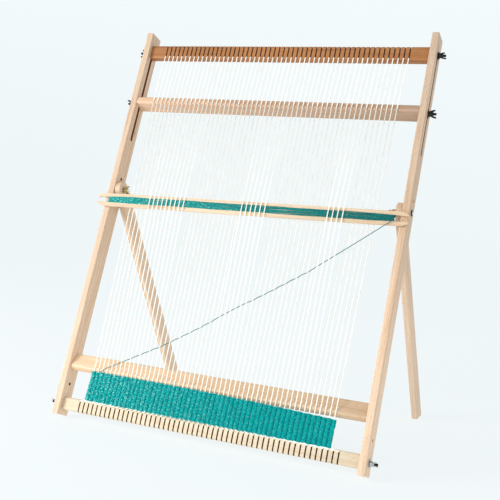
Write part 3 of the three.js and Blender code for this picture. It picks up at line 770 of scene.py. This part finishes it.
def on_shuttle(along, depth, up):
    """A point along, in front of (negative depth) and across the shuttle from its middle."""
    x = (SHUTTLE_ENDS[0][0] + SHUTTLE_ENDS[1][0]) / 2
    z = (SHUTTLE_ENDS[0][1] + SHUTTLE_ENDS[1][1]) / 2
    return loom(
        x + along * math.cos(SHUTTLE_TILT) - up * math.sin(SHUTTLE_TILT),
        (SHUTTLE_BACK + SHUTTLE_FRONT) / 2 + depth,
        z + along * math.sin(SHUTTLE_TILT) + up * math.cos(SHUTTLE_TILT),
    )


def make_wound_yarn(teal):
    """Yarn wound lengthwise: strands side by side on both faces, squeezed together in the notches."""
    tracks, steps, arc_steps, arc_radius = 14, 48, 8, 3
    radius = WOUND_YARN_THICKNESS / 2
    spread, squeeze = 7.5, 6.0
    notch = SHUTTLE_NOTCH / 2
    paths = []
    for track in range(tracks):
        place = track / (tracks - 1) * 2 - 1
        wave = rng.uniform(0, 2 * math.pi, 3)
        drift = rng.uniform(-0.7, 0.7)
        at_notch = place * squeeze
        floor = SHUTTLE_HALF - SHUTTLE_NOTCH_DEPTH + notch - math.sqrt(notch ** 2 - at_notch ** 2)
        stack = 0.0 if track % 2 == 0 else 0.55
        end = floor + radius + 0.2 + stack
        face = SHUTTLE_THICKNESS / 2 + radius + 0.05

        def strand(t, depth):
            """A point at share t of the run from the left notch to the right one."""
            fan = min(1.0, 9 * min(t, 1 - t)) ** 0.7
            up = place * mix(squeeze, spread, fan) + fan * (
                1.0 - t + drift * math.sin(2 * math.pi * t)
                + 0.35 * math.sin(7 * t * math.pi + wave[0])
                + 0.2 * math.sin(19 * t * math.pi + wave[1])
            )
            out = depth + math.copysign(0.06 * (1 + math.sin(23 * t + wave[2])), depth)
            return on_shuttle(mix(-end, end, t), out, up)

        def round_notch(end_side):
            """The turn from one face to the other in an end's notch."""
            for k in range(arc_steps + 1):
                a = k / arc_steps * math.pi
                yield on_shuttle(
                    end_side * (end - arc_radius + arc_radius * math.sin(a)),
                    -end_side * face * math.cos(a), at_notch,
                )

        front = [strand(k / steps, -face) for k in range(2, steps - 1)]
        back = [strand(k / steps, face) for k in range(2, steps - 1)]
        right, left = list(round_notch(1)), list(round_notch(-1))
        half = len(back) // 2
        paths.append(back[:half + 1][::-1] + left + front + right + back[half:][::-1])
    piece = thread_piece("wound_yarn", paths, radius * MM, 8, 6 * MM, teal)
    hand_over(piece, "shuttle", "shuttle_yarn")


def warp_front(index, height):
    """Depth of a warp end's axis at a height below the tension bar, lifted over the shuttle or not."""
    if not is_lifted(index):
        return warp_y(height)
    bottom = shuttle_height(warp_x(index, height)) - SHUTTLE_HEIGHT / 2
    return mix(CROSS_Y, LIFTED_FRONT, (height - CROSS_Z) / (bottom - CROSS_Z))


def tail_at(x):
    """Depth and height of the tail's route at an across position."""
    for (x0, y0, z0), (x1, y1, z1) in zip(YARN_TAIL_ROUTE, YARN_TAIL_ROUTE[1:]):
        if x >= x1:
            break
    share = (x - x0) / (x1 - x0)
    return mix(y0, y1, share), mix(z0, z1, share)


def make_yarn_tail(teal):
    """The taut yarn from the shuttle to the weaving, over one warp end and under the next."""
    radius = 0.85
    clear = WARP_LOOK + radius + 0.05
    points = [Vector(corner) for corner in YARN_TAIL_ROUTE[:2]]
    for index in reversed(range(SLIT_COUNT)):
        # Where the route meets this warp end, seen from the front.
        x = slit_x(index)
        for _ in range(6):
            x = warp_x(index, tail_at(x)[1])
        depth, height = tail_at(x)
        if index > LIFTED_GROUPS[2][0] - 1 or x < YARN_TAIL_ROUTE[-2][0] + 4:
            continue
        # The two groups lifted clear of the rest pass in front of the tail.
        if not LIFTED_GROUPS[1][0] <= index <= LIFTED_GROUPS[1][1]:
            depth = warp_front(index, height) + (clear if index % 2 == 0 else -clear)
        points.append(Vector((x, depth, height)))
    points += [Vector(YARN_TAIL_ROUTE[-1]), Vector(TAIL_END)]
    route = rounded_path([loom(*p) for p in points], 4 * MM, 2)
    tail = thread_piece("taut_yarn", [route], radius * MM, 8, 6 * MM, teal)
    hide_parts("yarn_tail")
    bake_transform(tail)


# ---- Fastenings ----

BOLT_RADIUS, THREAD_PITCH = 3.0, 1.0
OUTER_FACE, INNER_FACE = 370, 354
BOLT_SIDES, BOLT_TIP_RADIUS = 28, 2.2
# Distances from the loom's middle: where a bar's bolt starts, is plain, is threaded and ends.
BOLT_START, BOLT_PLAIN_TO, BOLT_THREAD, BOLT_END = 331.5, 352, (352.2, 387.3), 388
# The same for a leg's pivot bolt, whose head is on the outer side.
PIVOT_END, PIVOT_THREAD, PIVOT_PLAIN_FROM = 323, (323.8, 342), 342.3
PIVOT_HEAD_RADIUS, PIVOT_NECK_RADIUS, HEAD_STEPS = 7.0, 6.6, 10
LEG_THICKNESS, LEG_GAP = 14, 0.4
WASHER_THICKNESS, FASTENING_GAP, HEAD_HEIGHT = 1.5, 0.3, 3.8
SEAT = OUTER_FACE + FASTENING_GAP
NUT_FROM = SEAT + WASHER_THICKNESS + FASTENING_GAP
LEG_WASHER_FROM = INNER_FACE - LEG_GAP - LEG_THICKNESS - FASTENING_GAP - WASHER_THICKNESS
LEG_NUT_FROM = LEG_WASHER_FROM - FASTENING_GAP


def turned(rings, side, at, sides=BOLT_SIDES):
    """A solid turned about an axis along X; each ring is (distance from the middle, radius at angle)."""
    verts, faces = [], []
    for distance, radius_at in rings:
        for j in range(sides):
            angle = 2 * math.pi * j / sides
            radius = radius_at(angle) if callable(radius_at) else radius_at
            verts.append(loom(side * distance, radius * math.cos(angle), at + radius * math.sin(angle)))
    for k in range(len(rings) - 1):
        for j in range(sides):
            a, b = k * sides + j, k * sides + (j + 1) % sides
            faces.append((a, b, b + sides, a + sides) if side < 0 else (a, a + sides, b + sides, b))
    return verts, faces


def screw_thread(start, end, per_turn=6):
    """Rings of a right-hand thread between two distances."""
    rings = []
    count = int(abs(end - start) / THREAD_PITCH * per_turn)
    for k in range(count + 1):
        distance = mix(start, end, k / count)

        def radius_at(angle, distance=distance):
            phase = (distance / THREAD_PITCH + angle / (2 * math.pi)) % 1
            return BOLT_RADIUS - 0.55 * abs(2 * phase - 1)

        rings.append((distance, radius_at))
    return rings


def closed(verts, faces, sides):
    """Adds the two end caps of a turned solid."""
    last = len(verts) - sides
    first_cap = tuple(range(sides))
    last_cap = tuple(last + j for j in range(sides))
    return verts, faces + [first_cap, last_cap]


def bolt_piece(name, rings, side, at, material, body, node):
    verts, faces = closed(*turned(rings, side, at), BOLT_SIDES)
    piece = make_piece(name, verts, faces, material)
    recalculate(piece)
    hand_over(piece, body, node)


def recalculate(piece):
    """Turns all faces outward and keeps sharp corners sharp."""
    mesh = bmesh.new()
    mesh.from_mesh(piece.data)
    bmesh.ops.recalc_face_normals(mesh, faces=mesh.faces)
    for edge in mesh.edges:
        if len(edge.link_faces) == 2 and edge.calc_face_angle() > math.radians(38):
            edge.smooth = False
    mesh.to_mesh(piece.data)
    mesh.free()


def washer_piece(name, side, start, at, material, body, node):
    """A flat ring with eased edges."""
    inner, outer, ease = 3.4, 8.5, 0.25
    end = start + WASHER_THICKNESS
    profile = [
        (start, inner), (start, outer - ease), (start + ease, outer), (end - ease, outer),
        (end, outer - ease), (end, inner), (start, inner),
    ]
    sides = 40
    verts, faces = turned(profile, side, at, sides)
    verts = verts[:-sides]
    count = len(verts)
    faces = [tuple(v % count for v in face) for face in faces]
    piece = make_piece(name, verts, faces, material)
    recalculate(piece)
    hand_over(piece, body, node)


def wing_nut_mesh():
    """A cast wing nut: hub and wings melted together by a fine remesh. Its axis is +X from x = 0."""
    mesh = bmesh.new()
    sides = 40
    profile = [
        (0, 3.15), (0, 6.1), (0.4, 6.5), (1.4, 6.4), (3.6, 5.3), (8.6, 4.8), (9, 4.5), (9, 3.15),
    ]
    rings = []
    for x, radius in profile:
        angles = (2 * math.pi * j / sides for j in range(sides))
        rings.append([mesh.verts.new((x, radius * math.cos(a), radius * math.sin(a))) for a in angles])
    for a, b in zip(rings, rings[1:] + rings[:1]):
        for j in range(sides):
            k = (j + 1) % sides
            mesh.faces.new((a[j], a[k], b[k], b[j]))
    outline = [(4.1, 1.2), (6.6, 2.4), (8.6, 4.8), (10.2, 8.0), (11.2, 11.6), (11.4, 13.6), (10.4, 14.9),
               (8.9, 14.8), (7.8, 13.4), (6.9, 10.8), (5.8, 9.0), (4.1, 7.9)]
    half = 0.95
    for wing in (-1, 1):
        faces = []
        for y in (-half, half):
            faces.append([mesh.verts.new((x, y, wing * radial)) for radial, x in outline])
        mesh.faces.new(faces[0])
        mesh.faces.new(faces[1][::-1])
        for k in range(len(outline)):
            m = (k + 1) % len(outline)
            mesh.faces.new((faces[0][k], faces[1][k], faces[1][m], faces[0][m]))
    bmesh.ops.recalc_face_normals(mesh, faces=mesh.faces)
    data = bpy.data.meshes.new("wing_nut_blank")
    mesh.to_mesh(data)
    mesh.free()
    blank = bpy.data.objects.new("wing_nut_blank", data)
    bpy.context.collection.objects.link(blank)
    remesh = blank.modifiers.new("remesh", "REMESH")
    remesh.mode = "VOXEL"
    remesh.voxel_size = 0.42
    smooth = blank.modifiers.new("smooth", "SMOOTH")
    smooth.factor = 0.5
    smooth.iterations = 4
    bpy.context.view_layer.update()
    melted = bpy.data.meshes.new_from_object(blank.evaluated_get(bpy.context.evaluated_depsgraph_get()))
    bpy.data.objects.remove(blank)
    melted.polygons.foreach_set("use_smooth", [True] * len(melted.polygons))
    return melted


def wing_nut_piece(name, blank, side, direction, start, at, turn, material, body):
    data = blank.copy()
    outward = side * direction
    points = []
    angle = math.radians(turn)
    for vertex in data.vertices:
        x, y, z = vertex.co
        y, z = y * math.cos(angle) - z * math.sin(angle), y * math.sin(angle) + z * math.cos(angle)
        points.append(loom(side * start + outward * x, y, at + z))
    data.vertices.foreach_set("co", [c for p in points for c in p])
    if outward < 0:
        data.flip_normals()
    data.materials.clear()
    data.materials.append(material)
    data.update()
    piece = bpy.data.objects.new(name, data)
    bpy.context.collection.objects.link(piece)
    hand_over(piece, body, name[:-len("_piece")])


def make_fastenings():
    black = metal("blackened_steel", (0.035, 0.033, 0.032, 1), 0.42, 0.85)
    zinc = metal("zinc_plate", (0.60, 0.60, 0.62, 1), 0.33, 1.0)
    # Brass darkened as painted shade, for the tension bar's washers.
    brass = metal("brass_painted_shade", (0.26, 0.12, 0.06, 1), 0.42, 0.9, 0.5)
    gold = metal("brass_plate", (0.70, 0.52, 0.20, 1), 0.34, 1.0, 0.5)
    pivot = metal("pivot_head", (0.95, 0.95, 0.95, 1), 0.45, 0.2, dark_rim=(loom(0, 0, PIVOT_AT), 4.7 * MM))
    blank = wing_nut_mesh()
    finishes = {"black_steel": black, "zinc": zinc, "brass": brass}
    # Each bar's nut and washer finishes, zinc on the bottom bar, dark brass and black higher up: partly real
    # finishes, partly painted shade.
    bars = (
        ("top_beam", TOP_BEAM_AT, "frame", "frame", (-4, 80), "black_steel", "black_steel"),
        ("tension_bar", TENSION_BAR_AT, "tension_bar_body", "tension_bar_carriage", (62, 62),
         "black_steel", "brass"),
        ("bottom_beam", BOTTOM_BEAM_AT, "frame", "frame", (70, 70), "zinc", "zinc"),
    )
    for side_name, side in (("left", -1), ("right", 1)):
        for label, at, bolt_body, washer_body, turns, nut_slot, washer_slot in bars:
            part = f"{side_name}_{label}"
            rings = [
                (BOLT_START, BOLT_TIP_RADIUS), (BOLT_START + 2, BOLT_RADIUS), (BOLT_PLAIN_TO, BOLT_RADIUS),
            ]
            rings += screw_thread(*BOLT_THREAD) + [(BOLT_END, BOLT_TIP_RADIUS - 0.1)]
            bolt_piece(f"{part}_bolt_piece", rings, side, at, black, bolt_body, f"{part}_bolt")
            washer_piece(
                f"{part}_washer_piece", side, SEAT, at, finishes[washer_slot], washer_body,
                f"{part}_washer",
            )
            wing_nut_piece(
                f"{part}_wing_nut_piece", blank, side, 1, NUT_FROM, at, turns[side > 0],
                finishes[nut_slot], f"{part}_nut",
            )
        part = f"{side_name}_leg"
        head = [
            (SEAT + HEAD_HEIGHT * math.sin(a), PIVOT_HEAD_RADIUS * math.cos(a) ** 0.9)
            for a in (k / HEAD_STEPS * math.pi / 2 for k in range(HEAD_STEPS))
        ]
        rings = [(PIVOT_END, BOLT_TIP_RADIUS)] + screw_thread(*PIVOT_THREAD)
        rings += [(PIVOT_PLAIN_FROM, BOLT_RADIUS), (SEAT - 0.01, BOLT_RADIUS), (SEAT, PIVOT_NECK_RADIUS)]
        rings += head + [(SEAT + HEAD_HEIGHT, 0.3)]
        bolt_piece(f"{part}_bolt_piece", rings, side, PIVOT_AT, pivot, "frame", f"{part}_bolt")
        washer_piece(
            f"{part}_washer_piece", side, LEG_WASHER_FROM, PIVOT_AT, zinc, f"{part}_body",
            f"{part}_washer",
        )
        wing_nut_piece(
            f"{part}_wing_nut_piece", blank, side, -1, LEG_NUT_FROM, PIVOT_AT, 95 if side > 0 else 35,
            gold, f"{part}_nut",
        )


# ---- Wood ----


def finish_wood(node, material, ease, segments):
    """Gives a CAD node its wood and eases its edges."""
    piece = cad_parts[node]
    for slot in piece.material_slots:
        slot.link = "OBJECT"
        slot.material = material
    weld = piece.modifiers.new("weld", "WELD")
    weld.merge_threshold = 0.00001
    bevel = piece.modifiers.new("ease", "BEVEL")
    bevel.width = ease * MM
    bevel.segments = segments
    bevel.limit_method = "ANGLE"
    bevel.angle_limit = math.radians(25)
    bevel.harden_normals = True


def make_wood():
    light, dark, fleck = srgb(235, 207, 180), srgb(219, 184, 150), srgb(176, 126, 92)
    # Spans of the painted-light fades: up the uprights and across the bars.
    up, over = (ALONG, 0.1, 0.95), (ACROSS, -0.35, 0.35)
    # Node, material, light and dark tone, flecks, grain, seed, fade of painted light, inner walls with
    # painted shade, easing and its segments.
    rows = (
        ("left_upright", "beech_left", light, dark, fleck, ALONG, 0.0, (*up, 1.07, 0.86), slot_wall_shade, 0.7, 3),
        ("right_upright", "beech_right", light, dark, fleck, ALONG, 3.1, (*up, 1.15, 0.72), slot_wall_shade,
         0.7, 3),
        # Painted light: the bars share one beech, orange-brown on the top beam and paler on each lower bar.
        ("top_beam", "beech_top", srgb(186, 127, 75), srgb(160, 103, 56), srgb(122, 72, 40), ACROSS, 1.7,
         None, slit_wall_shade, 0.5, 2),
        ("bottom_beam", "beech_bottom", srgb(250, 234, 206), srgb(240, 217, 184), fleck, ACROSS, 5.2,
         (*over, 1.0, 0.88), slit_wall_shade, 0.5, 2),
        ("tension_bar", "beech_tension", srgb(226, 192, 163), srgb(207, 170, 140), fleck, ACROSS, 7.9,
         (*over, 1.12, 0.72), None, 0.6, 3),
        ("lower_crossbar", "beech_crossbar", srgb(242, 212, 179), srgb(225, 190, 152), fleck, ACROSS, 21.4,
         (*over, 1.12, 0.86), None, 0.6, 3),
        ("left_leg", "beech_leg_left", light, dark, fleck, LEG_ALONG, 9.4, None, None, 0.7, 3),
        ("right_leg", "beech_leg_right", light, dark, fleck, LEG_ALONG, 11.8, None, None, 0.7, 3),
        ("stick_shuttle", "beech_shuttle", srgb(240, 215, 184), dark, fleck, ACROSS, 13.3, None, None,
         0.4, 3),
    )
    for node, name, *looks, ease, segments in rows:
        finish_wood(node, wood(name, *looks), ease, segments)


def make_teal_yarn():
    """The tail, the weaving and the wound yarn."""
    weft = yarn(
        "teal_weft", srgb(0, 188, 184), srgb(0, 132, 136), srgb(150, 238, 230), 2, 0.0, 0.0004, 0.44,
        fade=(-0.3, 0.3, 1.15, 1.0),
    )
    # Painted shade: a darker teal for the sheet seen in the gaps between picks.
    shade = yarn("teal_gap_shade", srgb(0, 118, 122), srgb(0, 84, 90), srgb(0, 120, 120), 2, 0.0, 0.0003)
    wound = yarn(
        "teal_wound", srgb(34, 176, 170), srgb(0, 104, 106), srgb(150, 230, 220), 2, 0.05, 0.0004, 0.40,
        fade=(-0.2, 0.36, 1.0, 0.42),
    )
    tail = yarn("teal_tail", srgb(66, 140, 138), srgb(24, 86, 88), srgb(150, 230, 220), 2, 0.2, 0.0003)
    make_yarn_tail(tail)
    make_weaving(weft, shade)
    make_wound_yarn(wound)


make_camera()
make_warp()
make_teal_yarn()
make_fastenings()
make_wood()
make_stage()
make_light()
